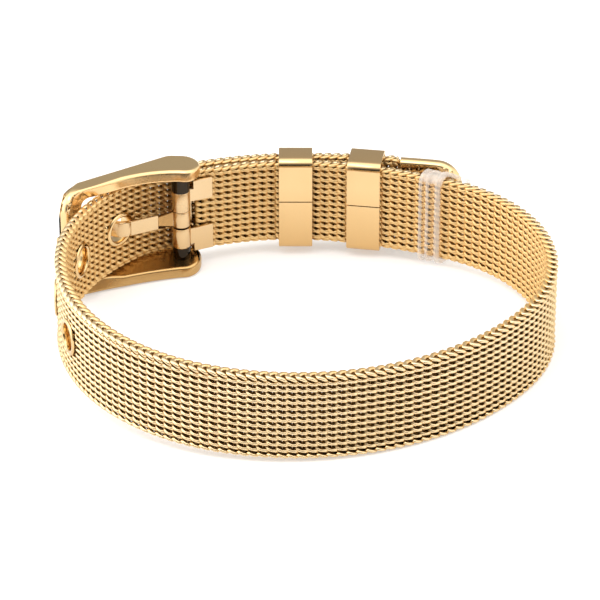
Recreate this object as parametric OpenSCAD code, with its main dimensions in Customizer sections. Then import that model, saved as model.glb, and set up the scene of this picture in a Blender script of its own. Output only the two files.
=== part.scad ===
/* [Strap] */
// Width of the woven strap, edge to edge
strap_w = 10; // [8:0.5:14]
// Thickness of the woven strap
strap_t = 1.2; // [0.8:0.1:1.3]
// Thickness of the strap where its ends are pressed flat
pressed_t = 0.7; // [0.5:0.1:0.75]

/* [Eyelets] */
// Distance from one eyelet to the next along the strap
eyelet_pitch = 8; // [6:0.5:8.5]
// Distance along the strap from its fixed end to the eyelet that holds the tongue
tongue_eyelet_s = 143.6; // [143.2:0.1:144]
// Radius of an eyelet's hole
eyelet_hole_r = 1.5; // [1.4:0.05:1.5]
// Outer radius of an eyelet's rims
eyelet_rim_r = 2.05; // [2:0.05:2.1]
// Thickness of an eyelet's rims
eyelet_rim_t = 0.2; // [0.15:0.05:0.25]

/* [Buckle] */
// Thickness of each arm of the buckle frame, above and below the strap
arm_t = 1.6; // [1.2:0.1:2]
// Clearance between the strap's edges and the arms
arm_gap = 0.15; // [0.1:0.05:0.3]
// Width of the front bar that the tongue rests on
front_bar_w = 1.6; // [1.2:0.1:2]
// Corner radius of the frame, seen from outside
frame_corner_r = 2.6; // [1.5:0.1:3]
// Radius of the pivot bar inside its knuckles
bar_r = 0.65; // [0.5:0.05:0.68]
// Outer radius of the knuckles and of the tongue's loop
knuckle_r = 1.05; // [1:0.05:1.1]
// Width of the tongue's flat shank
tongue_w = 1.9; // [1.6:0.1:1.95]
// Thickness of the tongue
tongue_t = 0.5; // [0.4:0.05:0.5]

/* [Keepers] */
// Width of each metal keeper along the strap
keeper_w = 3.8; // [3:0.1:4.2]
// Thickness of the keepers' sheet
keeper_t = 0.4; // [0.3:0.05:0.45]
// Width of the clear keeper along the strap
clear_w = 3.1; // [2.5:0.1:3.4]

/* [Strap tip] */
// Length of the metal cap on the free end
tip_len = 7; // [5:0.5:8]
// Thickness of the cap
tip_t = 1.4; // [1.2:0.1:1.5]
// Radius of the cap's two end corners
tip_corner_r = 2.8; // [1.5:0.1:4]

/* [Resting pose] */
// Lean of the strap about the X axis as it rests on the buckle
lean_x = 1.6; // [0:0.05:4]
// Lean of the strap about the Y axis as it rests on the buckle
lean_y = 1.6; // [0:0.05:3]

/* [Hidden] */
$fn = 48;

gold = "goldenrod";
pale_gold = "palegoldenrod";
dark_gold = "darkgoldenrod";
clear = "lightgray";

mid_z = strap_w / 2;

// The strap's middle line in plan: where it starts, its first heading, and its stretches.
// Each stretch is [radius, turn to the right in degrees], or [length, 0] where it is straight.
strap_start = [-11.95, 11.05];
strap_heading = 23.5;
stretches = [[28, 34.5], [53, 13.5], [18, 52], [18.5, 46.5], [29, 72], [24, 78], [20.5, 38],
    [38.5, 4.5], [8.5, 16.5], [35.5, 28], [85, 9.5], [21.5, 11]];

// Unit vectors along a heading and to the left of it, which is outwards on the strap
function along(h) = [cos(h), sin(h)];
function left(h) = [-sin(h), cos(h)];
function arc_length(a) = a[1] == 0 ? a[0] : a[0] * abs(a[1]) * PI / 180;
function centre_of(p, h, a) = p - left(h) * a[0] * sign(a[1]);

// Point and heading after a length s of one stretch
function step(p, h, a, s) = a[1] == 0 ? [p + along(h) * s, h] :
    let (turn = sign(a[1]) * s / a[0] * 180 / PI)
    [centre_of(p, h, a) + left(h - turn) * a[0] * sign(a[1]), h - turn];

// Point and heading at distance s along a chain of stretches
function at(s, p = strap_start, h = strap_heading, chain = stretches, i = 0) =
    let (len = arc_length(chain[i]))
    (s <= len || i == len(chain) - 1) ? step(p, h, chain[i], s) :
    let (next = step(p, h, chain[i], len))
    at(s - len, next[0], next[1], chain, i + 1);

function lengths_sum(chain, n) = n == 0 ? 0 : arc_length(chain[n - 1]) + lengths_sum(chain, n - 1);
strap_len = lengths_sum(stretches, len(stretches));

// Distances along a chain at which its outline has corners: the two ends and the bends between
facet_turn = 3.5;
function bends(chain) = [for (i = [0 : len(chain) - 1])
    let (n = max(1, ceil(abs(chain[i][1]) / facet_turn)))
    for (k = [0 : n - 1]) lengths_sum(chain, i) + arc_length(chain[i]) * k / n];
function stations(chain, s0, s1) =
    concat([s0], [for (s = bends(chain)) if (s > s0 + 0.05 && s < s1 - 0.05) s], [s1]);

// Upright wall of thickness t along a chain, from s0 to s1 and from z0 to z1
module chain_wall(s0, s1, t, z0, z1, p = strap_start, h = strap_heading, chain = stretches) {
    line = [for (s = stations(chain, s0, s1)) at(s, p, h, chain)];
    n = len(line);
    outer = [for (i = [0 : n - 1]) line[i][0] + left(line[i][1]) * t / 2];
    inner = [for (i = [0 : n - 1]) line[n - 1 - i][0] - left(line[n - 1 - i][1]) * t / 2];
    translate([0, 0, z0]) linear_extrude(z1 - z0) polygon(concat(outer, inner));
}

// Puts children at distance s along the strap: X along it, Y outwards
module on_strap(s) {
    place = at(s);
    translate([place[0][0], place[0][1], 0]) rotate(place[1]) children();
}

// Lean of the whole bracelet as it rests, and the move that centres it over the origin
rest_shift = [-0.52, 7.664, 1.207];
module resting() {
    translate(rest_shift) rotate([lean_x, lean_y, 0]) children();
}

// Square with two round corners at its +X end, from x = -length to 0 and y = y0 to y1
module rounded_end(length, y0, y1, r) {
    translate([-length, y0]) square([length - r, y1 - y0]);
    translate([-r - 0.01, y0 + r]) square([r + 0.01, y1 - y0 - 2 * r]);
    for (y = [y0 + r, y1 - r]) translate([-r, y]) circle(r);
}

// Rounded rectangle between two corners
module rounded_box(x0, y0, x1, y1, r) {
    translate([x0 + r, y0]) square([x1 - x0 - 2 * r, y1 - y0]);
    translate([x0, y0 + r]) square([x1 - x0, y1 - y0 - 2 * r]);
    for (x = [x0 + r, x1 - r], y = [y0 + r, y1 - r]) translate([x, y]) circle(r);
}

// Eyelets: the first holds the tongue, and the others lie towards the front
eyelet_count = 4;
eyelet_wall = 0.2;
eyelet_hole_gap = 0.1;
rim_gap = 0.15;
function eyelet_s(i) = tongue_eyelet_s - (i - 1) * eyelet_pitch;

// Strap ends: the fixed end is pressed flat for the end fitting, the free end for the cap
fixed_pressed = 2.2;
cap_grip = 1.6;
tip_s = strap_len - tip_len;

module mesh_band() color(gold) resting() difference() {
    union() {
        chain_wall(0.1, fixed_pressed + 0.3, pressed_t, 0, strap_w);
        chain_wall(fixed_pressed, tip_s - 0.15, strap_t, 0, strap_w);
        chain_wall(tip_s - 0.45, tip_s + cap_grip, pressed_t, 0.6, strap_w - 0.6);
    }
    for (i = [1 : eyelet_count]) on_strap(eyelet_s(i)) translate([0, 0, mid_z]) rotate([90, 0, 0])
        cylinder(r = eyelet_hole_r + eyelet_wall + eyelet_hole_gap, h = strap_t + 0.4, center = true);
}

// Turned ring with a rim on both faces of the strap
module eyelet(i) color(pale_gold) resting()
    on_strap(eyelet_s(i)) translate([0, 0, mid_z]) rotate([90, 0, 0]) {
        rim_y = strap_t / 2 + rim_gap;
        rotate_extrude() {
            translate([eyelet_hole_r, -rim_y - eyelet_rim_t])
                square([eyelet_wall, 2 * (rim_y + eyelet_rim_t)]);
            for (y = [-rim_y - eyelet_rim_t, rim_y]) translate([eyelet_hole_r, y])
                square([eyelet_rim_r - eyelet_hole_r, eyelet_rim_t]);
        }
    }

// Pivot bar: a tube in the knuckles, a collar beyond them at each end, a thin pin in each arm
pivot = [-13.3, 9.9];
collar_r = 0.75;
pin_r = 0.4;
pin_gap = 0.05;
pin_depth = 0.85;
knuckle_z = [[1.45, 3.9], [6.1, 8.55]];
bore_gap = 0.1;
module at_pivot(z = 0) {
    translate([pivot[0], pivot[1], z]) children();
}
module pivot_bar() color(dark_gold) resting() {
    at_pivot(0.3) cylinder(r = bar_r, h = strap_w - 0.6);
    for (z = [-0.05, knuckle_z[1][1] + 0.1]) at_pivot(z)
        cylinder(r = collar_r, h = strap_w - knuckle_z[1][1] - 0.05);
    at_pivot(-arm_gap - pin_depth) cylinder(r = pin_r, h = strap_w + 2 * (arm_gap + pin_depth));
}

// Buckle frame: the arms' outline in plan, then the opening for the strap and the front bar.
// The front bar curves with the strap, round the middle of the strap's left bend.
bend_centre = [-5.1, -6.4];
front_r = 21.9;
front_bar_t = 1.3;
frame_end_angle = 157.6;
arm_end_r = 2.2;
shoulder = [-14.3, 10.2];
shoulder_r = 1.95;
wrist_curve_r = 33;
wrist_curve = [-7.1, -24.7];
module front_ring() translate(bend_centre) difference() {
    circle(front_r + front_bar_t, $fn = 240);
    circle(front_r, $fn = 240);
}
module arm_outline() {
    translate(pivot) circle(arm_end_r);
    translate(shoulder) circle(shoulder_r);
    intersection() {
        difference() {
            polygon([[-13.3, 12.1], [-14.3, 12.15], [-15.35, 11.85], [-27, 4.45], [-30, 0],
                [-13.3, 0]]);
            translate(wrist_curve) circle(wrist_curve_r, $fn = 240);
        }
        translate(bend_centre) circle(front_r + front_bar_t, $fn = 240);
    }
    intersection() {
        front_ring();
        translate([-30, 0]) square([6.5, 4]);
    }
}
// Prism across the frame whose outline is drawn as [distance from the front end, height]
module across_frame() {
    translate([bend_centre[0], bend_centre[1], 0]) rotate(frame_end_angle)
        rotate([90, 0, 90]) linear_extrude(40) children();
}
module buckle_frame() color(gold) resting() difference() {
    low = -arm_gap - arm_t;
    high = strap_w + arm_gap + arm_t;
    intersection() {
        translate([0, 0, low]) linear_extrude(high - low) arm_outline();
        across_frame() rounded_end(30, low, high, frame_corner_r);
    }
    across_frame() translate([-front_bar_w, 0])
        rounded_end(30, -arm_gap, strap_w + arm_gap, 0.8);
    at_pivot(-arm_gap - pin_depth - 0.15)
        cylinder(r = pin_r + pin_gap, h = strap_w + 2 * (arm_gap + pin_depth + 0.15));
}

// End fitting: folded sheet over the pressed end, with two knuckles round the bar
sheet_t = 0.35;
slot_half = 0.45;
plate_len = 2.05;
web_x = -0.3;
web_t = 0.28;
plate_z = [[0.2, 3.25], [6.67, 9.5]];
module end_fitting() color(pale_gold) resting() difference() {
    full_z = [plate_z[0][0], plate_z[1][1]];
    plate_y = slot_half + sheet_t;
    union() {
        for (z = knuckle_z) at_pivot(z[0]) cylinder(r = knuckle_r, h = z[1] - z[0]);
        on_strap(0) {
            for (i = [0, 1]) {
                z0 = plate_z[i][0];
                z1 = plate_z[i][1];
                root0 = max(z0, knuckle_z[i][0]);
                root1 = min(z1, knuckle_z[i][1]);
                translate([-0.9, -plate_y, root0]) cube([1, sheet_t, root1 - root0]);
                translate([web_x, -plate_y, z0]) cube([plate_len - web_x, sheet_t, z1 - z0]);
                translate([-1.7, 0, root0]) cube([1.5, 0.5, root1 - root0]);
                translate([web_x, -plate_y + 0.1, z0])
                    cube([web_t, 2 * plate_y - 0.2, z1 - z0]);
            }
            translate([web_x, slot_half, full_z[0]])
                cube([plate_len - web_x, sheet_t, full_z[1] - full_z[0]]);
        }
    }
    at_pivot(-1) cylinder(r = bar_r + bore_gap, h = strap_w + 2);
}

// Tongue: loop on the bar, thin neck, flat shank, then a crank through the eyelet and over the bar
tongue_heading = 205;
shank_start = [-15.85, 8.61];
loop_z = [4.05, 6];
tip_w = tongue_w - 0.3;
crank = [[3.6, 0], [1.2, 38], [1.8, 0], [1, -51], [4, 0], [4, -24]];
shank_only = 3.4;
module tongue() color(pale_gold) resting() {
    crank_len = lengths_sum(crank, len(crank));
    shank_z = mid_z - tongue_w / 2;
    tip_z = mid_z - tip_w / 2;
    difference() {
        union() {
            at_pivot(loop_z[0]) cylinder(r = knuckle_r, h = loop_z[1] - loop_z[0]);
            translate([shank_start[0], shank_start[1], shank_z]) rotate(tongue_heading)
                translate([-2.2, -0.4, 0]) cube([2.3, 0.4, tongue_w]);
        }
        at_pivot(-1) cylinder(r = bar_r + bore_gap, h = strap_w + 2);
    }
    chain_wall(0, shank_only, tongue_t, shank_z, shank_z + tongue_w, shank_start,
        tongue_heading, crank);
    chain_wall(shank_only - 0.1, crank_len, tongue_t, tip_z, tip_z + tip_w, shank_start,
        tongue_heading, crank);
}

// Keepers: folded sheet loops round both layers, open at a seam on the wrist side
keeper_places = [[-0.5, 14.05, 0, 3.4], [7.05, 13.45, -9, 4.3]];
keeper_edge_gap = 0.15;
keeper_corner_r = 0.9;
seam_w = 0.12;
seam_z = 5.5;
module keeper(i) color(pale_gold) resting() {
    place = keeper_places[i - 1];
    half = place[3] / 2;
    z0 = -keeper_edge_gap;
    z1 = strap_w + keeper_edge_gap;
    translate([place[0], place[1], 0]) rotate(place[2]) difference() {
        translate([-keeper_w / 2, 0, 0]) rotate([90, 0, 90]) linear_extrude(keeper_w) difference() {
            rounded_box(-half - keeper_t, z0 - keeper_t, half + keeper_t, z1 + keeper_t,
                keeper_corner_r);
            rounded_box(-half, z0, half, z1, keeper_corner_r - keeper_t);
        }
        translate([-keeper_w, -half - 2 * keeper_t, seam_z])
            cube([2 * keeper_w, 3 * keeper_t, seam_w]);
    }
}

// Strap tip: sheet cap with round end corners, over the pressed free end of the strap
slot_gap = 0.05;
module strap_tip() color(gold) resting() difference() {
    intersection() {
        chain_wall(tip_s, strap_len, tip_t, 0, strap_w);
        on_strap(strap_len) rotate([90, 0, 0]) translate([0, 0, -5])
            linear_extrude(10) rounded_end(20, 0, strap_w, tip_corner_r);
    }
    chain_wall(tip_s - 1, tip_s + cap_grip + 0.2, pressed_t + 2 * slot_gap, 0.5, strap_w - 0.5);
}

// Clear keeper: moulded band round both layers, thicker along its two rims
clear_place = [15, 11.7];
clear_turn = -20;
clear_depth = [-2.7, 2.8];
clear_t = 0.35;
clear_rib_w = 0.8;
clear_rib_t = 0.6;
clear_edge_gap = 0.25;
module clear_loop(x0, width, t) {
    translate([x0, 0, 0]) rotate([90, 0, 90]) linear_extrude(width) difference() {
        rounded_box(clear_depth[0] - t, -clear_edge_gap - t, clear_depth[1] + t,
            strap_w + clear_edge_gap + t, 0.9);
        rounded_box(clear_depth[0], -clear_edge_gap, clear_depth[1], strap_w + clear_edge_gap, 0.4);
    }
}
module clear_keeper() color(clear) resting()
    translate([clear_place[0], clear_place[1], 0]) rotate(clear_turn) {
        clear_loop(-clear_w / 2, clear_w, clear_t);
        clear_loop(-clear_w / 2, clear_rib_w, clear_rib_t);
        clear_loop(clear_w / 2 - clear_rib_w, clear_rib_w, clear_rib_t);
    }

mesh_band();
end_fitting();
pivot_bar();
buckle_frame();
tongue();
eyelet(1);  // eyelet_1
eyelet(2);  // eyelet_2
eyelet(3);  // eyelet_3
eyelet(4);  // eyelet_4
keeper(1);  // keeper_1
keeper(2);  // keeper_2
strap_tip();
clear_keeper();
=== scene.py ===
import math

import bmesh
import bpy
import numpy as np
from mathutils import Matrix, Vector


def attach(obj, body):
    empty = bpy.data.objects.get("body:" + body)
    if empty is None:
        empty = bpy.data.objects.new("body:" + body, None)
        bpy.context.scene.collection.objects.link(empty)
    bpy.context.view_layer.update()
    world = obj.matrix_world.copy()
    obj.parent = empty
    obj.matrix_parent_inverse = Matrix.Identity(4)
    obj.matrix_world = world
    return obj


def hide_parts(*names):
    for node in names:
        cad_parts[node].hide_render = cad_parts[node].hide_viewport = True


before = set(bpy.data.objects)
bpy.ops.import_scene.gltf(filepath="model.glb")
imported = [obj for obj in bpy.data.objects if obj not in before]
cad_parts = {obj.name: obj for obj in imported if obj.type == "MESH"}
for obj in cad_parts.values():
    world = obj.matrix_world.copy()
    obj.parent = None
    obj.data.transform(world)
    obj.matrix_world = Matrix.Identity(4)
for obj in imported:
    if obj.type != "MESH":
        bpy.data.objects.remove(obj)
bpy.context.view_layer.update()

# Camera: a long lens 400 mm away, 31.6 degrees above the plane of the strap's lower edge. That
# plane leans a little, because the buckle is wider than the strap and holds it off the table.
# Every piece is drawn upright in millimetres, then laid on the table with LAID.
MM = 0.001
REST_LEAN = math.radians(1.6)
REST_SHIFT = (-0.52, 7.664, 1.207)
LEAN = Matrix.Rotation(REST_LEAN, 4, "Y") @ Matrix.Rotation(REST_LEAN, 4, "X")
LAID = Matrix.Scale(MM, 4) @ Matrix.Translation(REST_SHIFT) @ LEAN
CAMERA_ELEVATION = math.radians(31.6)
CAMERA_DISTANCE = 400.0
CAMERA_LENS, CAMERA_SENSOR = 217.56, 36.0
CAMERA_CLIP = 0.01
camera_data = bpy.data.cameras.new("studio_camera")
camera_data.lens = CAMERA_LENS
camera_data.sensor_width = CAMERA_SENSOR
camera_data.clip_start = CAMERA_CLIP
camera = bpy.data.objects.new("studio_camera", camera_data)
bpy.context.scene.collection.objects.link(camera)
back_off = Vector((0.0, -math.cos(CAMERA_ELEVATION), math.sin(CAMERA_ELEVATION)))
aim = Matrix.Rotation(math.pi / 2 - CAMERA_ELEVATION, 4, "X")
camera.matrix_world = (
    Matrix.Translation(LAID @ (back_off * CAMERA_DISTANCE)) @ LEAN @ aim
)
bpy.context.scene.camera = camera

# Table: one wide board of matt white acrylic, lit a little from below, so that shadows stay
# faint. The bracelet lies loose on it.
TABLE_HALF = 2.5
TABLE_TINTS = ((0.72, 0.717, 0.714), (0.70, 0.698, 0.696))
TABLE_ROUGHNESS = (0.6, 0.8)
TABLE_SHINE = 0.1
TABLE_CLOUDS, TABLE_DETAIL = 9.0, 2.0
TABLE_GLOW, TABLE_GLOW_TINT = 0.38, (1.0, 0.99, 0.98)


def new_effect(name, tints, numbers, outputs):
    """A shader node group with named sockets, and its input and output nodes.

    tints and numbers name its inputs. Each output is the name of the shader's own socket that it
    feeds, and its kind.
    """
    effect = bpy.data.node_groups.new(name, "ShaderNodeTree")
    for sockets, kind in ((tints, "NodeSocketColor"), (numbers, "NodeSocketFloat")):
        for socket in sockets:
            effect.interface.new_socket(socket, in_out="INPUT", socket_type=kind)
    for socket, kind in outputs:
        effect.interface.new_socket(socket, in_out="OUTPUT", socket_type=kind)
    return effect, effect.nodes.new("NodeGroupInput"), effect.nodes.new("NodeGroupOutput")


def clouding_effect():
    """Slow changes of tint and roughness all over a piece."""
    effect, given, result = new_effect(
        "slow_clouding", ("Pale Tint", "Deep Tint"), ("Scale", "Detail", "Smoothest", "Roughest"),
        (("Base Color", "NodeSocketColor"), ("Roughness", "NodeSocketFloat")),
    )
    nodes, links = effect.nodes, effect.links
    place = nodes.new("ShaderNodeTexCoord")
    cloud = nodes.new("ShaderNodeTexNoise")
    links.new(place.outputs["Object"], cloud.inputs["Vector"])
    links.new(given.outputs["Scale"], cloud.inputs["Scale"])
    links.new(given.outputs["Detail"], cloud.inputs["Detail"])
    tint = nodes.new("ShaderNodeMix")
    tint.data_type = "RGBA"
    links.new(cloud.outputs["Fac"], tint.inputs["Factor"])
    links.new(given.outputs["Pale Tint"], tint.inputs["A"])
    links.new(given.outputs["Deep Tint"], tint.inputs["B"])
    links.new(tint.outputs["Result"], result.inputs["Base Color"])
    matt = nodes.new("ShaderNodeMapRange")
    links.new(cloud.outputs["Fac"], matt.inputs["Value"])
    links.new(given.outputs["Smoothest"], matt.inputs["To Min"])
    links.new(given.outputs["Roughest"], matt.inputs["To Max"])
    links.new(matt.outputs["Result"], result.inputs["Roughness"])
    return effect


def finish_with(name, effect, values):
    """A new finish: one effect with values of its own, its outputs fed into the shader."""
    finish = bpy.data.materials.new(name)
    finish.use_nodes = True
    placed = finish.node_tree.nodes.new("ShaderNodeGroup")
    placed.node_tree = effect
    for socket, value in values.items():
        placed.inputs[socket].default_value = value
    shader = finish.node_tree.nodes["Principled BSDF"]
    for output in placed.outputs:
        finish.node_tree.links.new(output, shader.inputs[output.name])
    return finish


CLOUDING = clouding_effect()


def clouded_finish(name, scale, detail, tints, roughness):
    """A finish clouded between two tints and between two roughnesses."""
    return finish_with(name, CLOUDING, {
        "Pale Tint": (*tints[0], 1.0), "Deep Tint": (*tints[1], 1.0), "Scale": scale,
        "Detail": detail, "Smoothest": roughness[0], "Roughest": roughness[1],
    })


table_bm = bmesh.new()
bmesh.ops.create_grid(table_bm, x_segments=1, y_segments=1, size=TABLE_HALF)
table_mesh = bpy.data.meshes.new("table_top")
table_bm.to_mesh(table_mesh)
table_bm.free()
table_top = bpy.data.objects.new("table_top", table_mesh)
bpy.context.scene.collection.objects.link(table_top)
board = clouded_finish("white_board", TABLE_CLOUDS, TABLE_DETAIL, TABLE_TINTS, TABLE_ROUGHNESS)
board_shader = board.node_tree.nodes["Principled BSDF"]
board_shader.inputs["Specular IOR Level"].default_value = TABLE_SHINE
board_shader.inputs["Emission Color"].default_value = (*TABLE_GLOW_TINT, 1.0)
board_shader.inputs["Emission Strength"].default_value = TABLE_GLOW
table_mesh.materials.append(board)

# Light: a white tent, brightest on the left and overhead, grey behind the bracelet and dark low
# down in front, where the room shows through its opening. One weak lamp above adds to the shine.
TENT_TINT = (1.0, 0.995, 0.985)
TENT_LIMIT = 4.0
# Brightness from the horizon in front (0) over the top (0.5) to the horizon behind (1).
TENT_STEPS = [
    (0.00, 0.06), (0.10, 0.08), (0.17, 0.3), (0.24, 0.9), (0.32, 1.9), (0.56, 1.9),
    (0.66, 0.9), (0.76, 0.55), (0.92, 0.48), (1.00, 0.5),
]
# Brightness of the left and the right wall, and how far to the side they begin and are full.
TENT_SIDES, TENT_SIDE_EDGE = (2.8, 1.4), (0.5, 0.95)
LAMP_SIZE = (0.35, 0.2)
LAMP_POWER = 0.3
LAMP_PLACE = Vector((-0.12, -0.16, 0.5))
world = bpy.data.worlds.new("studio_tent")
world.use_nodes = True
bpy.context.scene.world = world
tent = world.node_tree
tent_out = tent.nodes["Background"]
toward = tent.nodes.new("ShaderNodeTexCoord")
parts = tent.nodes.new("ShaderNodeSeparateXYZ")
tent.links.new(toward.outputs["Generated"], parts.inputs[0])
front = tent.nodes.new("ShaderNodeMath")
front.operation = "MULTIPLY"
front.inputs[1].default_value = -1.0
tent.links.new(parts.outputs["Y"], front.inputs[0])
turn = tent.nodes.new("ShaderNodeMath")
turn.operation = "ARCTAN2"
tent.links.new(parts.outputs["Z"], turn.inputs[0])
tent.links.new(front.outputs[0], turn.inputs[1])
share = tent.nodes.new("ShaderNodeMath")
share.operation = "DIVIDE"
share.inputs[1].default_value = math.pi
tent.links.new(turn.outputs[0], share.inputs[0])
bands = tent.nodes.new("ShaderNodeFloatCurve")
tent.links.new(share.outputs[0], bands.inputs["Value"])
tent_curve = bands.mapping.curves[0]
bands.mapping.use_clip = False
while len(tent_curve.points) < len(TENT_STEPS):
    tent_curve.points.new(0.5, 0.5)
for point, (where, bright) in zip(tent_curve.points, TENT_STEPS):
    point.location = (where, bright / TENT_LIMIT)
bands.mapping.update()
strength = tent.nodes.new("ShaderNodeMath")
strength.operation = "MULTIPLY"
strength.inputs[1].default_value = TENT_LIMIT
tent.links.new(bands.outputs[0], strength.inputs[0])
sideways = tent.nodes.new("ShaderNodeMath")
sideways.operation = "ABSOLUTE"
tent.links.new(parts.outputs["X"], sideways.inputs[0])
side_share = tent.nodes.new("ShaderNodeMapRange")
side_share.interpolation_type = "SMOOTHSTEP"
side_share.inputs["From Min"].default_value = TENT_SIDE_EDGE[0]
side_share.inputs["From Max"].default_value = TENT_SIDE_EDGE[1]
tent.links.new(sideways.outputs[0], side_share.inputs["Value"])
tent_mix = tent.nodes.new("ShaderNodeMix")
side_level = tent.nodes.new("ShaderNodeMapRange")
side_level.inputs["From Min"].default_value = -1.0
side_level.inputs["To Min"].default_value = TENT_SIDES[0]
side_level.inputs["To Max"].default_value = TENT_SIDES[1]
tent.links.new(parts.outputs["X"], side_level.inputs["Value"])
tent.links.new(side_level.outputs[0], tent_mix.inputs["B"])
tent.links.new(side_share.outputs[0], tent_mix.inputs["Factor"])
tent.links.new(strength.outputs[0], tent_mix.inputs["A"])
tent.links.new(tent_mix.outputs["Result"], tent_out.inputs["Strength"])
tent_out.inputs["Color"].default_value = (*TENT_TINT, 1.0)

lamp_data = bpy.data.lights.new("soft_lamp", "AREA")
lamp_data.shape = "RECTANGLE"
lamp_data.size, lamp_data.size_y = LAMP_SIZE
lamp_data.energy = LAMP_POWER
lamp = bpy.data.objects.new("soft_lamp", lamp_data)
bpy.context.scene.collection.objects.link(lamp)
lamp.matrix_world = Matrix.LocRotScale(
    LAMP_PLACE, (-LAMP_PLACE).to_track_quat("-Z", "Y"), None
)
bpy.context.scene.view_settings.view_transform = "Standard"


# Woven strap: gold-plated steel wire wound into flat coils across the strap, each coil screwed
# into the last, with a flat pin through every overlap; both ends are pressed thin.
# It is woven flat, then bent round the wrist along the strap's middle line.
STRAP_WIDTH = 10.0
MID_HEIGHT = STRAP_WIDTH / 2
STRAP_START = (-11.95, 11.05)
STRAP_HEADING = 23.5
# The middle line's arcs from the buckle on: radius and turn in degrees.
STRAP_BENDS = [
    (28, 34.5), (53, 13.5), (18, 52), (18.5, 46.5), (29, 72), (24, 78), (20.5, 38),
    (38.5, 4.5), (8.5, 16.5), (35.5, 28), (85, 9.5), (21.5, 11),
]
STRAP_LENGTH = sum(r * math.radians(turn_deg) for r, turn_deg in STRAP_BENDS)
TIP_LENGTH = 7.0
TIP_START = STRAP_LENGTH - TIP_LENGTH
WIRE_RADIUS = 0.178
WIRE_SIDES = 6
COIL_HALF_WIDTH = 0.65
COIL_HALF_THICK = 0.49
COIL_RISE = 0.7385
COIL_TURNS = 13
COIL_STEPS = 12
OUTER_SPREAD, WRIST_SPREAD = (0.88, 2.2), (0.85, 2.5)
HOOK_SPREAD = 1.55
EDGE_GAP, EDGE_LIFT = 0.02, 0.08
# A coil's bent end, in shares of its half width, of its half thickness and of the way from its
# last turn to the strap's edge.
EDGE_HOOK = [
    (-0.85, -0.5, 0.4), (-0.5, -0.75, 0.85), (0.0, -0.6, 1.0), (0.45, -0.1, 1.0),
    (0.8, 0.45, 1.0), (0.6, 0.85, 0.95), (0.1, 0.95, 0.6), (-0.35, 0.95, 0.0),
    (-0.75, 0.8, -0.75),
]
COIL_SQUARENESS = 2.1
COLUMN_PITCH = 1.0126
FIRST_COLUMN = 0.9
PIN_HALF_WIDTH = 0.48
PIN_HALF_THICK = 0.16
PIN_LENGTH, PIN_SIDES, PIN_CUTS = STRAP_WIDTH - 0.5, 8, 15
PRESSED_FADE, PRESSED_SHARE = (2.8, 2.0), 0.56
CAP_FADE, CAP_SHARE = (TIP_START - 0.35, TIP_START - 0.05), 0.84
EYELET_PLACES = [143.6, 135.6, 127.6, 119.6]
STRAP_HOLE_RADIUS = 1.78
EDGE_ZONE = 4.6


def ramp(value, start, end):
    """0 up to start, 1 from end on, and straight between them."""
    return min(max((value - start) / (end - start), 0.0), 1.0)


def along_strap(s):
    """Points and headings (radians) of the strap's middle line, s from its fixed end."""
    s = np.atleast_1d(np.asarray(s, float))
    points, headings = np.zeros((len(s), 2)), np.zeros(len(s))
    here, heading, done = np.array(STRAP_START), math.radians(STRAP_HEADING), 0.0
    for i, (radius, turn_deg) in enumerate(STRAP_BENDS):
        length = radius * math.radians(turn_deg)
        last = i == len(STRAP_BENDS) - 1
        mine = ((s >= done) | (i == 0)) & ((s < done + length) | last)
        turned = heading - (s[mine] - done) / radius
        middle = here + radius * np.array([math.sin(heading), -math.cos(heading)])
        points[mine] = middle + radius * np.column_stack([-np.sin(turned), np.cos(turned)])
        headings[mine] = turned
        heading -= math.radians(turn_deg)
        here = middle + radius * np.array([-math.sin(heading), math.cos(heading)])
        done += length
    return points, headings


def bend_to_strap(mesh):
    """Bends a flat mesh in mm, x along the strap and y outwards, round the wrist and lays it."""
    flat = np.zeros(len(mesh.vertices) * 3)
    mesh.vertices.foreach_get("co", flat)
    flat = flat.reshape(-1, 3)
    points, headings = along_strap(flat[:, 0])
    outwards = np.column_stack([-np.sin(headings), np.cos(headings)])
    bent = np.column_stack([points + outwards * flat[:, 1:2], flat[:, 2]])
    mesh.vertices.foreach_set("co", bent.ravel())
    mesh.transform(LAID)
    mesh.update()


def strap_place(s):
    """Matrix that puts a piece drawn at the origin at distance s along the strap, y outwards."""
    points, headings = along_strap(s)
    return Matrix.Translation((*points[0], 0.0)) @ Matrix.Rotation(headings[0], 4, "Z")


def add_piece(name, bm, material, nodes):
    """Ends a piece: its mesh goes into the scene with its finish, in place of its CAD nodes."""
    mesh = bpy.data.meshes.new(name)
    bm.to_mesh(mesh)
    bm.free()
    piece = bpy.data.objects.new(name, mesh)
    bpy.context.scene.collection.objects.link(piece)
    mesh.materials.append(material)
    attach(piece, "root")
    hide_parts(*nodes)
    return piece


PATCH_DETAIL, PATCH_RANGE = 3.0, (0.3, 0.7)
GRAIN_DETAIL, GRAIN_HEIGHT = 2.0, 0.00002
# Below this height in metres the plating takes the low tint, a painted shade near the table.
LOW_SHADE_BELOW = 0.009


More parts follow.
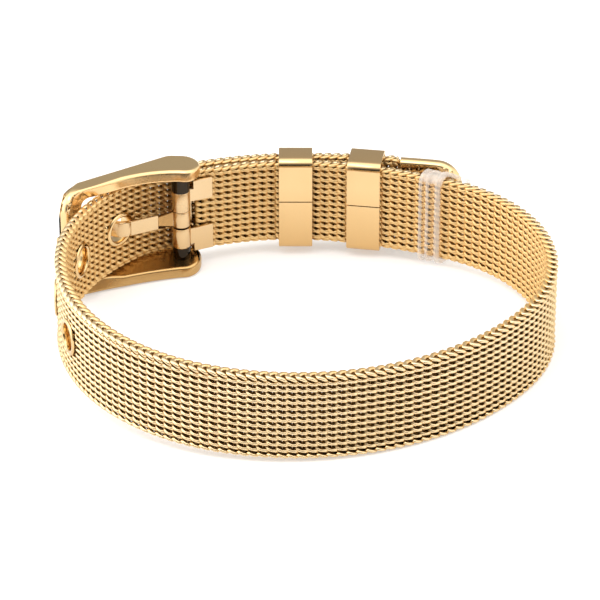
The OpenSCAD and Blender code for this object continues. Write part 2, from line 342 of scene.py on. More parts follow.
def plating_effect():
    """Gold plating: slow changes of tint and polish, a painted shade near the table, and a fine
    grain.
    """
    effect, given, result = new_effect(
        "gold_plating", ("Pale Tint", "Deep Tint", "Low Shade Tint"),
        ("Patch Scale", "Smoothest", "Roughest", "Grain Scale", "Grain Depth"),
        (
            ("Base Color", "NodeSocketColor"), ("Roughness", "NodeSocketFloat"),
            ("Normal", "NodeSocketVector"),
        ),
    )
    nodes, links = effect.nodes, effect.links
    place = nodes.new("ShaderNodeTexCoord")
    patches = nodes.new("ShaderNodeTexNoise")
    patches.inputs["Detail"].default_value = PATCH_DETAIL
    links.new(place.outputs["Object"], patches.inputs["Vector"])
    links.new(given.outputs["Patch Scale"], patches.inputs["Scale"])
    tint = nodes.new("ShaderNodeMix")
    tint.data_type = "RGBA"
    links.new(patches.outputs["Fac"], tint.inputs["Factor"])
    links.new(given.outputs["Pale Tint"], tint.inputs["A"])
    links.new(given.outputs["Deep Tint"], tint.inputs["B"])
    height = nodes.new("ShaderNodeSeparateXYZ")
    links.new(place.outputs["Object"], height.inputs[0])
    lowness = nodes.new("ShaderNodeMapRange")
    lowness.inputs["From Max"].default_value = LOW_SHADE_BELOW
    lowness.inputs["To Min"].default_value = 1.0
    lowness.inputs["To Max"].default_value = 0.0
    links.new(height.outputs["Z"], lowness.inputs["Value"])
    # Painted shade: towards the table the tint turns to the low one.
    low_shade_tint = nodes.new("ShaderNodeMix")
    low_shade_tint.data_type = "RGBA"
    links.new(lowness.outputs["Result"], low_shade_tint.inputs["Factor"])
    links.new(tint.outputs["Result"], low_shade_tint.inputs["A"])
    links.new(given.outputs["Low Shade Tint"], low_shade_tint.inputs["B"])
    links.new(low_shade_tint.outputs["Result"], result.inputs["Base Color"])
    polish = nodes.new("ShaderNodeMapRange")
    links.new(patches.outputs["Fac"], polish.inputs["Value"])
    polish.inputs["From Min"].default_value = PATCH_RANGE[0]
    polish.inputs["From Max"].default_value = PATCH_RANGE[1]
    links.new(given.outputs["Smoothest"], polish.inputs["To Min"])
    links.new(given.outputs["Roughest"], polish.inputs["To Max"])
    links.new(polish.outputs["Result"], result.inputs["Roughness"])
    grain = nodes.new("ShaderNodeTexNoise")
    grain.inputs["Detail"].default_value = GRAIN_DETAIL
    links.new(place.outputs["Object"], grain.inputs["Vector"])
    links.new(given.outputs["Grain Scale"], grain.inputs["Scale"])
    bump = nodes.new("ShaderNodeBump")
    bump.inputs["Distance"].default_value = GRAIN_HEIGHT
    links.new(given.outputs["Grain Depth"], bump.inputs["Strength"])
    links.new(grain.outputs["Fac"], bump.inputs["Height"])
    links.new(bump.outputs["Normal"], result.inputs["Normal"])
    return effect


PLATING = plating_effect()


def plated_metal(name, pale, deep, low, patch, polish, grain_scale, grain_depth):
    """One metal finish: the plating with its own tints (low: painted shade near the table),
    patches, range of polish and grain.
    """
    metal = finish_with(name, PLATING, {
        "Pale Tint": (*pale, 1.0), "Deep Tint": (*deep, 1.0), "Low Shade Tint": (*low, 1.0),
        "Patch Scale": patch, "Smoothest": polish[0], "Roughest": polish[1],
        "Grain Scale": grain_scale, "Grain Depth": grain_depth,
    })
    metal.node_tree.nodes["Principled BSDF"].inputs["Metallic"].default_value = 1.0
    return metal


# The wires shine where they face out. Inside the weave they are rougher and painted dark, as
# painted
# shade where the wires hide one another: the mesh attribute "outward" runs from 0 at the strap's
# core to 1 at its faces and edges. The wrist side ("wrist_side" 1) is duller from wear; there the
# gold is painted deeper and the recess shade browner, as painted shade from light thrown between
# the wires.
RECESS_RANGE = (0.38, 0.80)
RECESS_SHADE_TINTS = ((0.10, 0.05, 0.013), (0.70, 0.44, 0.15))
RECESS_ROUGHNESS = 0.6
WRIST_WEAR_AND_SHADE_SHARE, WRIST_SHADE_TINT = 0.7, (0.82, 0.55, 0.22)
WIRE_GLINT_TINT = (0.97, 0.82, 0.58)
wire_gold = plated_metal(
    "wire_gold", pale=(0.89, 0.71, 0.45), deep=(0.84, 0.62, 0.355), low=(0.82, 0.62, 0.355),
    patch=250.0, polish=(0.20, 0.30), grain_scale=5000.0, grain_depth=0.1,
)
wire_nodes, wire_links = wire_gold.node_tree.nodes, wire_gold.node_tree.links
wire_shader = wire_nodes["Principled BSDF"]
wire_tint = wire_shader.inputs["Base Color"].links[0].from_socket
outward = wire_nodes.new("ShaderNodeAttribute")
outward.attribute_name = "outward"
recess = wire_nodes.new("ShaderNodeMapRange")
recess.interpolation_type = "SMOOTHSTEP"
recess.inputs["From Min"].default_value = RECESS_RANGE[0]
recess.inputs["From Max"].default_value = RECESS_RANGE[1]
wire_links.new(outward.outputs["Fac"], recess.inputs["Value"])
wrist_side = wire_nodes.new("ShaderNodeAttribute")
wrist_side.attribute_name = "wrist_side"
# Painted shade: the recesses are tinted dark brown, a lighter brown on the wrist side.
recess_shade_tint = wire_nodes.new("ShaderNodeMix")
recess_shade_tint.data_type = "RGBA"
recess_shade_tint.inputs["A"].default_value = (*RECESS_SHADE_TINTS[0], 1.0)
recess_shade_tint.inputs["B"].default_value = (*RECESS_SHADE_TINTS[1], 1.0)
wire_links.new(wrist_side.outputs["Fac"], recess_shade_tint.inputs["Factor"])
wire_recess_shade = wire_nodes.new("ShaderNodeMix")
wire_recess_shade.data_type = "RGBA"
wire_links.new(recess.outputs["Result"], wire_recess_shade.inputs["Factor"])
wire_links.new(recess_shade_tint.outputs["Result"], wire_recess_shade.inputs["A"])
wire_links.new(wire_recess_shade.outputs["Result"], wire_shader.inputs["Base Color"])
wire_wear_and_shade = wire_nodes.new("ShaderNodeMath")
wire_wear_and_shade.operation = "MULTIPLY"
wire_wear_and_shade.inputs[1].default_value = WRIST_WEAR_AND_SHADE_SHARE
wire_links.new(wrist_side.outputs["Fac"], wire_wear_and_shade.inputs[0])
# Painted shade: on the wrist side the gold is tinted deeper.
wire_face = wire_nodes.new("ShaderNodeMix")
wire_face.data_type = "RGBA"
wire_face.inputs["B"].default_value = (*WRIST_SHADE_TINT, 1.0)
wire_links.new(wire_wear_and_shade.outputs[0], wire_face.inputs["Factor"])
wire_links.new(wire_tint, wire_face.inputs["A"])
wire_links.new(wire_face.outputs["Result"], wire_recess_shade.inputs["B"])
wire_inside = wire_nodes.new("ShaderNodeMath")
wire_inside.operation = "SUBTRACT"
wire_inside.inputs[0].default_value = 1.0
wire_links.new(recess.outputs["Result"], wire_inside.inputs[1])
wire_dull = wire_nodes.new("ShaderNodeMath")
wire_dull.operation = "MAXIMUM"
wire_links.new(wire_wear_and_shade.outputs[0], wire_dull.inputs[0])
wire_links.new(wire_inside.outputs[0], wire_dull.inputs[1])
wire_rough = wire_nodes.new("ShaderNodeMix")
wire_rough.inputs["B"].default_value = RECESS_ROUGHNESS
wire_links.new(wire_dull.outputs[0], wire_rough.inputs["Factor"])
wire_links.new(wire_shader.inputs["Roughness"].links[0].from_socket, wire_rough.inputs["A"])
wire_links.new(wire_rough.outputs["Result"], wire_shader.inputs["Roughness"])
wire_shader.inputs["Specular Tint"].default_value = (*WIRE_GLINT_TINT, 1.0)


def coil_line():
    """The middle line of one coil, from the strap's lower edge to its upper edge.

    Each end hooks over the strap's edge: along the wrist side, slantwise across, and back to
    the last turn on the outer side.
    """
    power = 2 / COIL_SQUARENESS
    start = (STRAP_WIDTH - COIL_RISE * (COIL_TURNS - 0.5)) / 2
    line = []
    for k in range(COIL_STEPS // 2, COIL_STEPS * COIL_TURNS + 1):
        angle = 2 * math.pi * k / COIL_STEPS
        x, y = -math.cos(angle), math.sin(angle)
        line.append((
            COIL_HALF_WIDTH * math.copysign(abs(x) ** power, x),
            COIL_HALF_THICK * math.copysign(abs(y) ** power, y),
            start + COIL_RISE * (k / COIL_STEPS - 0.5),
        ))
    edge = WIRE_RADIUS + EDGE_GAP
    for along, through, up in EDGE_HOOK:
        x, y = COIL_HALF_WIDTH * along, COIL_HALF_THICK * through
        low = start + (edge - start) * up
        line.insert(0, (-x, y, low))
        line.append((x, y, STRAP_WIDTH - low + EDGE_LIFT * up))
    return line


def wire_mesh(line, radius):
    """A round wire along a line of points, as a mesh tube with WIRE_SIDES sides."""
    curve = bpy.data.curves.new("wire", "CURVE")
    curve.dimensions = "3D"
    curve.bevel_depth = radius
    curve.bevel_resolution = (WIRE_SIDES - 4) // 2
    spline = curve.splines.new("POLY")
    spline.points.add(len(line) - 1)
    for point, place in zip(spline.points, line):
        point.co = (*place, 1.0)
    wire = bpy.data.objects.new("wire", curve)
    bpy.context.scene.collection.objects.link(wire)
    bpy.context.view_layer.update()
    mesh = bpy.data.meshes.new_from_object(wire)
    bpy.data.objects.remove(wire)
    bpy.data.curves.remove(curve)
    return mesh


def woven_run(column, first, count):
    """A flat run of the strap: count columns of one coil and its pin, from column first on."""
    holder = bpy.data.objects.new("run", column)
    bpy.context.scene.collection.objects.link(holder)
    row = holder.modifiers.new("columns", "ARRAY")
    row.count = count
    row.use_relative_offset = False
    row.use_constant_offset = True
    row.constant_offset_displace = (COLUMN_PITCH, 0.0, 0.0)
    woven = bpy.data.meshes.new_from_object(
        holder.evaluated_get(bpy.context.evaluated_depsgraph_get())
    )
    bpy.data.objects.remove(holder)
    woven.transform(Matrix.Translation((FIRST_COLUMN + first * COLUMN_PITCH, 0.0, 0.0)))
    return woven


coil_middle = coil_line()
coil_mesh = wire_mesh(coil_middle, WIRE_RADIUS)
column_bm = bmesh.new()
column_bm.from_mesh(coil_mesh)
for vert in column_bm.verts:
    step = vert.index // WIRE_SIDES
    middle = Vector(coil_middle[step])
    off = vert.co - middle
    if min(step, len(coil_middle) - 1 - step) < len(EDGE_HOOK):
        off.x *= HOOK_SPREAD
        off.y *= HOOK_SPREAD
    else:
        towards_end = min(abs(middle.x) / COIL_HALF_WIDTH, 1.0)
        at_middle, at_end = WRIST_SPREAD if middle.y < 0 else OUTER_SPREAD
        off.z *= at_middle + (at_end - at_middle) * towards_end ** (1 if middle.y < 0 else 2)
    vert.co = middle + off
# The flat pins are drawn wide enough to close the weave's holes; lying at the core, they take the
# painted shade of the recesses, so the holes show dark.
bmesh.ops.create_cone(
    column_bm, cap_ends=True, segments=PIN_SIDES, radius1=1.0, radius2=1.0, depth=PIN_LENGTH,
    matrix=Matrix.Translation((COLUMN_PITCH / 2, 0.0, MID_HEIGHT))
    @ Matrix.Diagonal((PIN_HALF_WIDTH, PIN_HALF_THICK, 1.0, 1.0)),
)
bmesh.ops.subdivide_edges(
    column_bm, edges=[e for e in column_bm.edges if e.calc_length() > PIN_LENGTH / 2],
    cuts=PIN_CUTS, use_grid_fill=True,
)
column_mesh = bpy.data.meshes.new("column")
column_bm.to_mesh(column_mesh)
column_bm.free()

RUNS = [("strap_weave_wrist", 0, 58), ("strap_weave_front", 58, 58), ("strap_weave_end", 116, 59)]
for run_name, run_first, run_count in RUNS:
    run_bm = bmesh.new()
    run_bm.from_mesh(woven_run(column_mesh, run_first, run_count))
    for eyelet_place in EYELET_PLACES:
        inside = [
            v for v in run_bm.verts
            if math.hypot(v.co.x - eyelet_place, v.co.z - MID_HEIGHT) < STRAP_HOLE_RADIUS
        ]
        bmesh.ops.delete(run_bm, geom=inside, context="VERTS")
    run_bm.verts.layers.float.new("outward")
    run_bm.verts.layers.float.new("wrist_side")
    outward_layer = run_bm.verts.layers.float["outward"]
    wrist_layer = run_bm.verts.layers.float["wrist_side"]
    for vert in run_bm.verts:
        # Where "outward" is low, at the strap's core, the wire finish paints shade.
        out_face = abs(vert.co.y) / (COIL_HALF_THICK + WIRE_RADIUS)
        out_edge = (abs(vert.co.z - MID_HEIGHT) - EDGE_ZONE) / (MID_HEIGHT - EDGE_ZONE)
        vert[outward_layer] = max(out_face, out_edge)
        vert[wrist_layer] = ramp(vert.co.y, PIN_HALF_THICK, -PIN_HALF_THICK)
        pressed = ramp(vert.co.x, *PRESSED_FADE)
        capped = ramp(vert.co.x, *CAP_FADE)
        vert.co.y *= 1 - (1 - PRESSED_SHARE) * max(pressed, capped)
        vert.co.z = MID_HEIGHT + (vert.co.z - MID_HEIGHT) * (1 - (1 - CAP_SHARE) * capped)
    bmesh.ops.holes_fill(run_bm, edges=run_bm.edges, sides=PIN_SIDES)
    for face in run_bm.faces:
        face.smooth = True
    weave = add_piece(run_name, run_bm, wire_gold, ["mesh_band"])
    bend_to_strap(weave.data)


# Buckle frame: cast steel, gold-plated and polished; two arms joined by the bar at the front.
# The outer edges are rounded over by 0.7 mm, those on the wrist side by half of that, and the
# faces round the window and along the wrist side are left as cast.
FRAME_CENTRE = Vector((-19.0, 4.0, MID_HEIGHT))
HOLLOW_CENTRE = Vector((-8.0, -5.0, MID_HEIGHT))
FRAME_ROUND = 0.72
BEND_CENTRE = (-5.1, -6.4)
BAR_ANGLES = (140.0, 151.5, 154.0)
BAR_EXTRA = math.radians(3.3)
WALL_CENTRE, WALL_RADIUS = Vector((-7.1, -24.7, 0.0)), 33.0
ARM_TOPS, ARM_HEIGHT = (-0.15, 11.75), 1.6
ARM_DRAFT, DRAFT_DEPTH = 0.34, 1.5
ARM_THINNED = 0.35
WALL_BOW, BOW_ENDS = 0.8, (-23.4, -12.0)
WRIST_ROUND = 0.38
WINDOW_ROUND = 0.26
OUTER_FACING = (-0.5, 0.8)
FACES_OUT, UPRIGHT = 0.5, 0.5
ON_PLANE = 0.02
SHARP_ANGLE, FLAT_ANGLE = math.radians(30), math.radians(0.6)
SAME_POINT, SHORTEST_EDGE = 0.000002, 0.00006


def rounded_solid(
    name, node, material, widest, edge_width, segments=3, reshape=None, inside=None
):
    """A CAD node's solid as a new piece, its sharp outer edges rounded over.

    edge_width gives the rounding in mm of an edge from its middle and its two faces' directions,
    and reshape gives a point's new place, all in the upright frame in which pieces are drawn.
    inside is a second finish and the function that picks its faces by middle and direction.
    """
    bm = bmesh.new()
    bm.from_mesh(bpy.data.objects[node].data)
    bmesh.ops.remove_doubles(bm, verts=bm.verts, dist=SAME_POINT)
    bmesh.ops.dissolve_limit(bm, angle_limit=FLAT_ANGLE, verts=bm.verts, edges=bm.edges)
    bmesh.ops.dissolve_degenerate(bm, dist=SHORTEST_EDGE, edges=bm.edges)
    upright, upright_turn = LAID.inverted(), LEAN.to_3x3().transposed()
    if reshape:
        for vert in bm.verts:
            vert.co = LAID @ reshape(upright @ vert.co)
        bm.normal_update()
    share = bm.edges.layers.float.new("bevel_weight_edge")
    for edge in bm.edges:
        if edge.is_manifold and edge.is_convex and edge.calc_face_angle() > SHARP_ANGLE:
            middle = upright @ ((edge.verts[0].co + edge.verts[1].co) / 2)
            faces = [upright_turn @ face.normal for face in edge.link_faces]
            edge[share] = edge_width(middle, faces) / widest
    for face in bm.faces:
        face.smooth = True
        if inside and inside[1](upright @ face.calc_center_median(), upright_turn @ face.normal):
            face.material_index = 1
    piece = add_piece(name, bm, material, [node])
    if inside:
        piece.data.materials.append(inside[0])
    rounding = piece.modifiers.new("rounding", "BEVEL")
    rounding.limit_method = "WEIGHT"
    rounding.width = widest * MM
    rounding.segments = segments
    rounding.profile = 0.5
    rounding.use_clamp_overlap = False
    piece.modifiers.new("flats", "WEIGHTED_NORMAL")
    return piece


def frame_edge(middle, faces):
    """Rounding of the buckle frame's edges: outer rim, wrist-side rim or window."""
    outwards = middle - HOLLOW_CENTRE
    outwards.z = 0.0
    outwards.normalize()
    rim, side = sorted(faces, key=lambda normal: abs(normal.dot(outwards)))
    if rim.dot(middle - FRAME_CENTRE) < 0:
        return WINDOW_ROUND
    facing_out = ramp(side.dot(outwards), *OUTER_FACING)
    return WRIST_ROUND + (FRAME_ROUND - WRIST_ROUND) * facing_out ** 2 * (3 - 2 * facing_out)


def frame_shape(point):
    """Widens the front bar on its window side, thins the arms and bows the upper one's wrist side.

    Both arms' wrist sides get a casting's draft too.
    """
    lower_top, upper_bottom = ARM_TOPS[0], ARM_TOPS[1] - ARM_HEIGHT
    spoke = point - Vector((*BEND_CENTRE, point.z))
    angle = math.degrees(math.atan2(spoke.y, spoke.x))
    on_bar = ramp(angle, *BAR_ANGLES[:2])
    if lower_top - ON_PLANE < point.z < upper_bottom + ON_PLANE and angle < BAR_ANGLES[2]:
        point = point - spoke + Matrix.Rotation(-BAR_EXTRA * on_bar, 3, "Z") @ spoke
    upper = point.z > MID_HEIGHT
    if upper and point.z < upper_bottom - ON_PLANE:
        return point
    down = ramp((ARM_TOPS[1] if upper else ARM_TOPS[0]) - point.z, 0.0, ARM_HEIGHT)
    inwards = WALL_CENTRE - Vector((point.x, point.y, 0.0))
    near_wall = ramp(inwards.length - WALL_RADIUS, DRAFT_DEPTH, 0.0) * (1.0 - on_bar)
    moved = point + inwards.normalized() * ARM_DRAFT * down * near_wall
    if upper:
        share = (point.x - BOW_ENDS[0]) / (BOW_ENDS[1] - BOW_ENDS[0])
        moved.y += WALL_BOW * max(4 * share * (1 - share), 0.0) * near_wall
    if abs(point.z - lower_top) < ON_PLANE:
        moved.z -= ARM_THINNED * near_wall
    elif abs(point.z - upper_bottom) < ON_PLANE:
        moved.z += ARM_THINNED * (1.0 - on_bar)
    return moved


def frame_inside(middle, facing):
    """The faces left as cast: round the window and along the wrist side."""
    outwards = middle - HOLLOW_CENTRE
    outwards.z = 0.0
    if facing.dot(outwards.normalized()) > FACES_OUT:
        return False
    return facing.dot(middle - FRAME_CENTRE) < 0 or abs(facing.z) < UPRIGHT


polished_gold = plated_metal(
    "polished_gold", pale=(0.86, 0.63, 0.325), deep=(0.82, 0.575, 0.285),
    low=(0.50, 0.32, 0.135), patch=180.0, polish=(0.07, 0.14), grain_scale=3000.0,
    grain_depth=0.03,
)
cast_gold = plated_metal(
    "cast_gold", pale=(0.90, 0.63, 0.32), deep=(0.84, 0.57, 0.27), low=(0.50, 0.31, 0.12),
    patch=180.0, polish=(0.20, 0.30), grain_scale=6000.0, grain_depth=0.1,
)
rounded_solid(
    "polished_buckle_frame", "buckle_frame", polished_gold,
    FRAME_ROUND, frame_edge, segments=5, reshape=frame_shape, inside=(cast_gold, frame_inside),
)


# End fitting: steel sheet folded over the strap's pressed end and welded, with two knuckles
# rolled round the pivot bar; satin finished, its edges only deburred.
satin_gold = plated_metal(
    "satin_gold", pale=(0.75, 0.555, 0.33), deep=(0.72, 0.52, 0.29), low=(0.64, 0.43, 0.21),
    patch=220.0, polish=(0.18, 0.28), grain_scale=8000.0, grain_depth=0.1,
)
FITTING_HEIGHTS = {1.45: 1.2, 3.9: 3.65, 6.1: 5.85, 8.55: 8.3, 9.5: 9.25}
HEIGHT_SLACK = 0.03
FITTING_ROUND = 0.08


def fitting_shape(point):
    """Sets the knuckles and the upper tab's edge a little lower, as they sit in the photo."""
    for drawn, seen in FITTING_HEIGHTS.items():
        if abs(point.z - drawn) < HEIGHT_SLACK:
            return Vector((point.x, point.y, seen))
    return point


rounded_solid(
    "folded_end_fitting", "end_fitting", satin_gold,
    FITTING_ROUND, lambda middle, faces: FITTING_ROUND, segments=2, reshape=fitting_shape,
)


# Pivot bar: turned steel bar, polished and painted nearly black: painted shade and dark reflection
# between the knuckles and the frame's arms. A shoulder at each end fills that gap; its thin ends
# sit in the arms.
# BAR_PROFILE is its lower half: radius and height.
PIVOT = (-13.3, 9.9)
BAR_PROFILE = [
    (0.0, -1.0), (0.40, -1.0), (0.45, -0.95), (0.45, -0.49), (0.96, -0.49), (1.02, -0.43),
    (1.02, 1.74), (0.96, 1.80), (0.62, 1.84), (0.62, 5.0),
]
BAR_STEPS = 32
MIRROR_MERGE, SPIN_MERGE = 0.0001, 0.0005


def turned_piece(profile, axis, middle, steps):
    """A turned piece: half of its profile, mirrored at its middle and spun round an axis.

    The profile is (radius, place along the axis), and axis is "Y" or "Z".
    """
    bm = bmesh.new()
    along = Vector((0.0, float(axis == "Y"), float(axis == "Z")))
    verts = [bm.verts.new(Vector((radius, 0.0, 0.0)) + along * at) for radius, at in profile]
    edges = [bm.edges.new(pair) for pair in zip(verts, verts[1:])]
    bmesh.ops.mirror(
        bm, geom=verts + edges, matrix=Matrix.Translation(-middle * along),
        merge_dist=MIRROR_MERGE, axis=axis,
    )
    bmesh.ops.spin(
        bm, geom=bm.verts[:] + bm.edges[:], cent=(0, 0, 0), axis=along, angle=2 * math.pi,
        steps=steps, use_merge=True,
    )
    bmesh.ops.remove_doubles(bm, verts=bm.verts, dist=SPIN_MERGE)
    bmesh.ops.recalc_face_normals(bm, faces=bm.faces)
    return bm


def smooth_by_angle(piece, degrees=35.0):
    """Smooth shading, broken at edges sharper than the angle."""
    for polygon in piece.data.polygons:
        polygon.use_smooth = True
    piece.data.set_sharp_from_angle(angle=math.radians(degrees))


# Painted shade: the steel's tints are nearly black.
bar_steel_painted_shade = plated_metal(
    "dark_bar_steel", pale=(0.055, 0.042, 0.030), deep=(0.030, 0.024, 0.018),
    low=(0.03, 0.022, 0.015), patch=400.0, polish=(0.05, 0.10), grain_scale=6000.0,
    grain_depth=0.03,
)
bar_bm = turned_piece(BAR_PROFILE, "Z", MID_HEIGHT, BAR_STEPS)
bmesh.ops.transform(
    bar_bm, matrix=LAID @ Matrix.Translation((*PIVOT, 0.0)), verts=bar_bm.verts
)
smooth_by_angle(add_piece("turned_pivot_bar", bar_bm, bar_steel_painted_shade, ["pivot_bar"]))


# Tongue: a steel loop on the bar, a flat satin shank and a crank that drops through the first
# eyelet. The neck between loop and shank is left as cast, rougher, and painted dark brown gold:
# painted shade and dark reflection at the step behind the shank.
SHANK_START, SHANK_HEADING = (-15.85, 8.61), math.radians(205)
LOOP_END, SHANK_END = -1.7, 0.12
NECK_SUNK, NECK_TOP, NECK_BOTTOM = (0.52, 0.2), 0.25, -0.85
NECK_DRAWN, NECK_MOVED = 0.01, 0.05
LOOP_LOWERED = 0.2
TONGUE_ROUND = 0.14
CRANK, CRANK_HALF, CRANK_ON = (3.5, 6.8), 0.95, 0.3
shank_lay = (
    Matrix.Translation((*SHANK_START, MID_HEIGHT)) @ Matrix.Rotation(SHANK_HEADING, 4, "Z")
)


def tongue_shape(point):
    """Sets the loop lower on the bar, narrows the neck behind the shank and widens the crank."""
    along = shank_lay.inverted() @ point
    if along.x < LOOP_END:
        along.z -= LOOP_LOWERED
    elif along.x < SHANK_END and along.y < NECK_DRAWN:
        along.y -= NECK_SUNK[0] if along.z > 0 else NECK_SUNK[1]
        along.z = NECK_TOP if along.z > 0 else NECK_BOTTOM
    elif CRANK[0] < along.x < CRANK[1]:
        along.z = math.copysign(CRANK_HALF, along.z)
        along.x += CRANK_ON
    return shank_lay @ along


def tongue_neck(middle, facing):
    """The neck's faces, left as cast and painted with shade."""
    along = shank_lay.inverted() @ middle
    return LOOP_END < along.x < 0.0 and along.y < NECK_MOVED


# Painted shade: the neck's tints are a dark brown gold.
neck_shade_gold = plated_metal(
    "neck_shade_gold", pale=(0.54, 0.32, 0.13), deep=(0.47, 0.27, 0.10), low=(0.40, 0.23, 0.085),
    patch=260.0, polish=(0.24, 0.34), grain_scale=6000.0, grain_depth=0.1,
)
rounded_solid(
    "buckle_tongue", "tongue", satin_gold, TONGUE_ROUND,
    lambda middle, faces: TONGUE_ROUND, reshape=tongue_shape, inside=(neck_shade_gold, tongue_neck),
)


# Eyelets: short steel tubes put through holes in the mesh and rolled over on both faces.
# EYELET_PROFILE is the half on the outer face: radius and distance from the strap's middle line.
EYELET_PROFILE = [
    (1.50, 0.0), (1.50, 0.66), (1.54, 0.76), (1.62, 0.82), (1.74, 0.84), (1.88, 0.82),
    (1.99, 0.75), (2.05, 0.66), (2.03, 0.60), (1.95, 0.58), (1.72, 0.56), (1.70, 0.0),
]
EYELET_STEPS = 40
ROUND_BREAK = 60.0

for number, eyelet_place in enumerate(EYELET_PLACES, 1):
    rim_bm = turned_piece(EYELET_PROFILE, "Y", 0.0, EYELET_STEPS)
    bmesh.ops.transform(
        rim_bm, verts=rim_bm.verts,
        matrix=LAID @ strap_place(eyelet_place) @ Matrix.Translation((0.0, 0.0, MID_HEIGHT)),
    )
    smooth_by_angle(add_piece(
        f"rolled_eyelet_{number}", rim_bm, polished_gold, [f"eyelet_{number}"]
    ), ROUND_BREAK)


# Keepers: two bands of steel sheet folded round both layers of the strap, satin finished; the
# sheet's two ends meet in a fine seam on the wrist side.
KEEPER_WIDTH = 3.8
KEEPER_SEAM = (5.42, 5.54)
KEEPER_CORNER = 0.5
# For each: x, y and turn in degrees, then where its inside begins and ends from the wrist side
# to the back, and from its lowest to its highest edge.
KEEPERS = [
    (-0.5, 14.05, 0.0, (-1.58, 1.45), (-0.3, 10.35)),
    (7.42, 13.4, -9.0, (-1.92, 1.72), (-0.12, 10.35)),
]
# The sheet's cut: its place along the strap and its thickness outwards, corners broken.
KEEPER_SECTION = [
    (along * (KEEPER_WIDTH / 2 - inset), thick)
    for along, inset, thick in (
        (-1, 0.1, 0.0), (1, 0.1, 0.0), (1, 0.03, 0.03), (1, 0.0, 0.1), (1, 0.0, 0.3),
        (1, 0.03, 0.37), (1, 0.1, 0.4), (-1, 0.1, 0.4), (-1, 0.03, 0.37), (-1, 0.0, 0.3),
        (-1, 0.0, 0.1), (-1, 0.03, 0.03),
    )
]
CORNER_STEPS = 8
BAND_MERGE = 0.002


def bent_band(section, start, bends):
    """A band bent round the strap: straight stretches, each followed by a bend to the outside.

    The section is (along the strap, outwards), start is the band's inner surface (y, z) where it
    begins to rise, and bends are (straight length, bend in degrees, inner radius).
    """
    bm = bmesh.new()
    outline = [bm.verts.new((along, start[0] - thick, start[1])) for along, thick in section]
    ring = [bm.edges.new(pair) for pair in zip(outline, outline[1:] + outline[:1])]
    place, heading = Vector((0.0, *start)), math.pi / 2
    for straight, bend_degrees, radius in bends:
        step = Vector((0.0, math.cos(heading), math.sin(heading))) * straight
        grown = bmesh.ops.extrude_edge_only(bm, edges=ring)["geom"]
        moved = [part for part in grown if isinstance(part, bmesh.types.BMVert)]
        bmesh.ops.translate(bm, verts=moved, vec=step)
        ring = [part for part in grown if isinstance(part, bmesh.types.BMEdge)]
        place += step
        if not bend_degrees:
            continue
        bend = math.radians(bend_degrees)
        centre = place + radius * Vector((0.0, math.sin(heading), -math.cos(heading)))
        turned_geom = bmesh.ops.spin(
            bm, geom=list({vert for edge in ring for vert in edge.verts}) + ring, cent=centre,
            axis=(1, 0, 0), angle=-bend, steps=CORNER_STEPS, use_merge=False,
        )["geom_last"]
        ring = [part for part in turned_geom if isinstance(part, bmesh.types.BMEdge)]
        place = centre + Matrix.Rotation(-bend, 3, "X") @ (place - centre)
        heading -= bend
    bmesh.ops.remove_doubles(bm, verts=bm.verts, dist=BAND_MERGE)
    bmesh.ops.holes_fill(bm, edges=bm.edges, sides=len(section))
    bmesh.ops.recalc_face_normals(bm, faces=bm.faces)
    return bm


keeper_gold = plated_metal(
    "keeper_gold", pale=(0.79, 0.555, 0.285), deep=(0.76, 0.52, 0.255), low=(0.62, 0.39, 0.165),
    patch=220.0, polish=(0.10, 0.17), grain_scale=8000.0, grain_depth=0.08,
)
for number, (x, y, turn_degrees, (near, far), (low, high)) in enumerate(KEEPERS, 1):
    back, across = (high - low - 2 * KEEPER_CORNER), (far - near - 2 * KEEPER_CORNER)
    keeper_bm = bent_band(KEEPER_SECTION, (near, KEEPER_SEAM[1]), [
        (high - KEEPER_CORNER - KEEPER_SEAM[1], 90.0, KEEPER_CORNER),
        (across, 90.0, KEEPER_CORNER), (back, 90.0, KEEPER_CORNER),
        (across, 90.0, KEEPER_CORNER), (KEEPER_SEAM[0] - low - KEEPER_CORNER, 0.0, 0.0),
    ])
    keeper_turn = Matrix.Rotation(math.radians(turn_degrees), 4, "Z")
    bmesh.ops.transform(
        keeper_bm, matrix=LAID @ Matrix.Translation((x, y, 0.0)) @ keeper_turn,
        verts=keeper_bm.verts,
    )
    smooth_by_angle(add_piece(
        f"sheet_keeper_{number}", keeper_bm, keeper_gold, [f"keeper_{number}"]
    ))


# Strap tip: a cap of polished sheet steel pressed onto the strap's free end. Its corners and its
# edges are well rounded, those at its mouth only a little.
TIP_ROUND = 0.58
MOUTH_ROUND, MOUTH_END = 0.08, 0.25
tip_upright = strap_place(TIP_START).inverted()


def tip_edge(middle, faces):
    """Rounding of the cap's edges: less at its mouth, where the strap goes in."""
    return MOUTH_ROUND if (tip_upright @ middle).x < MOUTH_END else TIP_ROUND


rounded_solid(
    "strap_end_cap", "strap_tip", polished_gold, TIP_ROUND, tip_edge, segments=4
)


# Clear keeper: a moulded band of soft clear plastic with three ribs along it. It goes round the
# strap, then dips behind it to hold the cap's rounded end. Its ribs and its bends are drawn less
# clear,
# so whiter, than the web between them: the mesh attribute "rim" is 1 there. On the ribs it follows
# their thickness; on the bends it is a painted highlight.
CLEAR_PLACE = (15.0, 11.7)
CLEAR_TURN = math.radians(-20)
CLEAR_INSIDE = (-2.7, 2.8)
CLEAR_HEIGHTS = (-0.25, 10.28)
CLEAR_CORNER = 0.85
CLEAR_DIP = 35.0
CLEAR_SHIFT = 1.6
CLEAR_MIDDLE = 0.48
CLEAR_EDGE = 1.28
CLEAR_WEB, CLEAR_RIB = 0.24, 0.52
CLEAR_TINTS = ((0.92, 0.84, 0.76), (0.88, 0.80, 0.72))
CLEAR_ROUGHNESS = (0.12, 0.3)
CLEAR_CLOUDS, CLEAR_DETAIL = 900.0, 3.0
CLEAR_IOR, CLEAR_SHINE = 1.42, 0.3
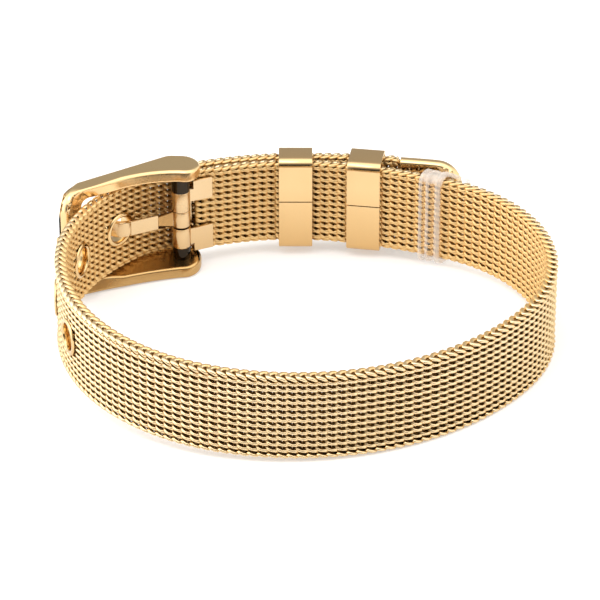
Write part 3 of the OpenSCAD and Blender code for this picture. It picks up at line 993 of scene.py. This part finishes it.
CLEAR_RIM_RANGE, CLEAR_ALPHA = (0.1, 0.8), (0.04, 0.46)
CLEAR_BEND_HIGHLIGHT = 0.7
CLEAR_SECTION = [
    (CLEAR_MIDDLE + along, thick)
    for along, thick in (
        (-CLEAR_EDGE, 0.0), (CLEAR_EDGE, 0.0), (1.32, 0.12), (1.32, 0.36), (1.2, 0.49),
        (0.95, 0.52), (0.7, 0.48), (0.54, 0.34), (0.44, 0.24), (0.02, 0.24), (-0.07, 0.34),
        (-0.19, 0.46), (-0.4, 0.46), (-0.51, 0.34), (-0.58, 0.24), (-0.8, 0.24),
        (-0.88, 0.35), (-1.0, 0.49), (-1.18, 0.5), (-1.31, 0.36), (-1.32, 0.12),
    )
]
clear_low, clear_high = CLEAR_HEIGHTS
clear_rise = clear_high - clear_low - 2 * CLEAR_CORNER
clear_across = CLEAR_INSIDE[1] - CLEAR_INSIDE[0] - 2 * CLEAR_CORNER
clear_slope = clear_across / math.cos(math.radians(CLEAR_DIP))
clear_back = clear_rise - 2 * clear_across * math.tan(math.radians(CLEAR_DIP))
clear_bm = bent_band(CLEAR_SECTION, (CLEAR_INSIDE[0], clear_low + CLEAR_CORNER), [
    (clear_rise, 90.0 + CLEAR_DIP, CLEAR_CORNER), (clear_slope, 90.0 - CLEAR_DIP, CLEAR_CORNER),
    (clear_back, 90.0 - CLEAR_DIP, CLEAR_CORNER), (clear_slope, 90.0 + CLEAR_DIP, CLEAR_CORNER),
])
rim_layer = clear_bm.verts.layers.float.new("rim")
for vert in clear_bm.verts:
    from_middle = abs(vert.co.z - (clear_low + clear_high) / 2) - clear_rise / 2
    section_point = min(CLEAR_SECTION, key=lambda part: abs(part[0] - vert.co.x))
    on_rib = (section_point[1] - CLEAR_WEB) / (CLEAR_RIB - CLEAR_WEB)
    # Painted highlight: the bends are made less clear, so they look whiter.
    vert[rim_layer] = min(max(on_rib, from_middle / CLEAR_BEND_HIGHLIGHT, 0.0), 1.0)
    vert.co.x += CLEAR_SHIFT * ramp(vert.co.y, *CLEAR_INSIDE)
bmesh.ops.transform(
    clear_bm, verts=clear_bm.verts,
    matrix=LAID @ Matrix.Translation((*CLEAR_PLACE, 0.0)) @ Matrix.Rotation(CLEAR_TURN, 4, "Z"),
)

clear_plastic = clouded_finish(
    "clear_plastic", CLEAR_CLOUDS, CLEAR_DETAIL, CLEAR_TINTS, CLEAR_ROUGHNESS
)
clear_nodes, clear_links = clear_plastic.node_tree.nodes, clear_plastic.node_tree.links
clear_shader = clear_nodes["Principled BSDF"]
clear_shader.inputs["IOR"].default_value = CLEAR_IOR
clear_shader.inputs["Specular IOR Level"].default_value = CLEAR_SHINE
clear_rim = clear_nodes.new("ShaderNodeAttribute")
clear_rim.attribute_name = "rim"
clear_body = clear_nodes.new("ShaderNodeMapRange")
clear_body.interpolation_type = "SMOOTHSTEP"
clear_body.inputs["From Min"].default_value = CLEAR_RIM_RANGE[0]
clear_body.inputs["From Max"].default_value = CLEAR_RIM_RANGE[1]
clear_body.inputs["To Min"].default_value = CLEAR_ALPHA[0]
clear_body.inputs["To Max"].default_value = CLEAR_ALPHA[1]
clear_links.new(clear_rim.outputs["Fac"], clear_body.inputs["Value"])
clear_links.new(clear_body.outputs["Result"], clear_shader.inputs["Alpha"])
smooth_by_angle(add_piece(
    "clear_plastic_keeper", clear_bm, clear_plastic, ["clear_keeper"]
), ROUND_BREAK)
